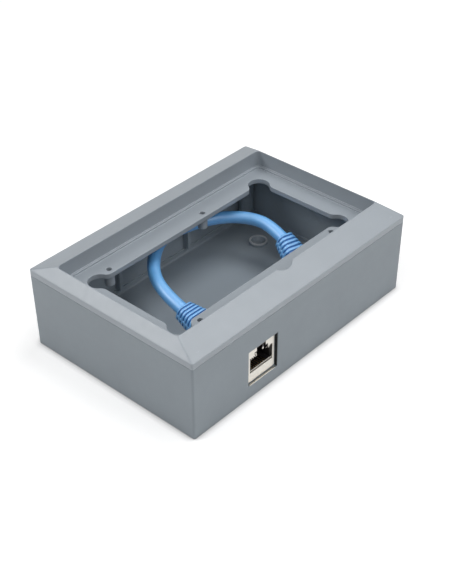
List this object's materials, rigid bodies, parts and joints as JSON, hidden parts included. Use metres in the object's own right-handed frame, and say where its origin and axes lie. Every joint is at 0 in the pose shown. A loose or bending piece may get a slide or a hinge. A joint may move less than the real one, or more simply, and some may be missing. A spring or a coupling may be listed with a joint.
{
  "type": "wall mount enclosure",
  "caption": "Grey surface box with a bevelled front frame and lobed panel recess, a shielded data coupler in one long wall and a short blue patch cord looped inside.",
  "frame": {"origin": "centre of the back face, which goes against the wall", "axes": "+Z from the wall into the room, +X along the long side, -Y is the side with the coupler"},
  "size_m": [0.126, 0.086, 0.04],
  "materials": {
    "case_grey": "fine matt moulded grey",
    "frame_grey": "fine matt moulded grey, the same as the back box",
    "screw_steel": "zinc plated",
    "shield_nickel": "nickel plated sheet",
    "core_black": "black moulding",
    "contact_gold": "gold plated wire",
    "plug_clear": "clear moulding",
    "boot_blue": "soft moulded blue",
    "cord_blue": "smooth blue jacket"
  },
  "bodies": {
    "root": {"back_box": "case_grey", "front_frame": "frame_grey", "frame_screws": "screw_steel", "coupler_shield": "shield_nickel", "coupler_core": "core_black", "outer_contacts": "contact_gold", "inner_contacts": "contact_gold", "jack_plug": "plug_clear", "free_plug": "plug_clear", "jack_plug_blades": "contact_gold", "free_plug_blades": "contact_gold", "jack_boot": "boot_blue", "free_boot": "boot_blue", "patch_cord": "cord_blue"}
  },
  "joints": []
}
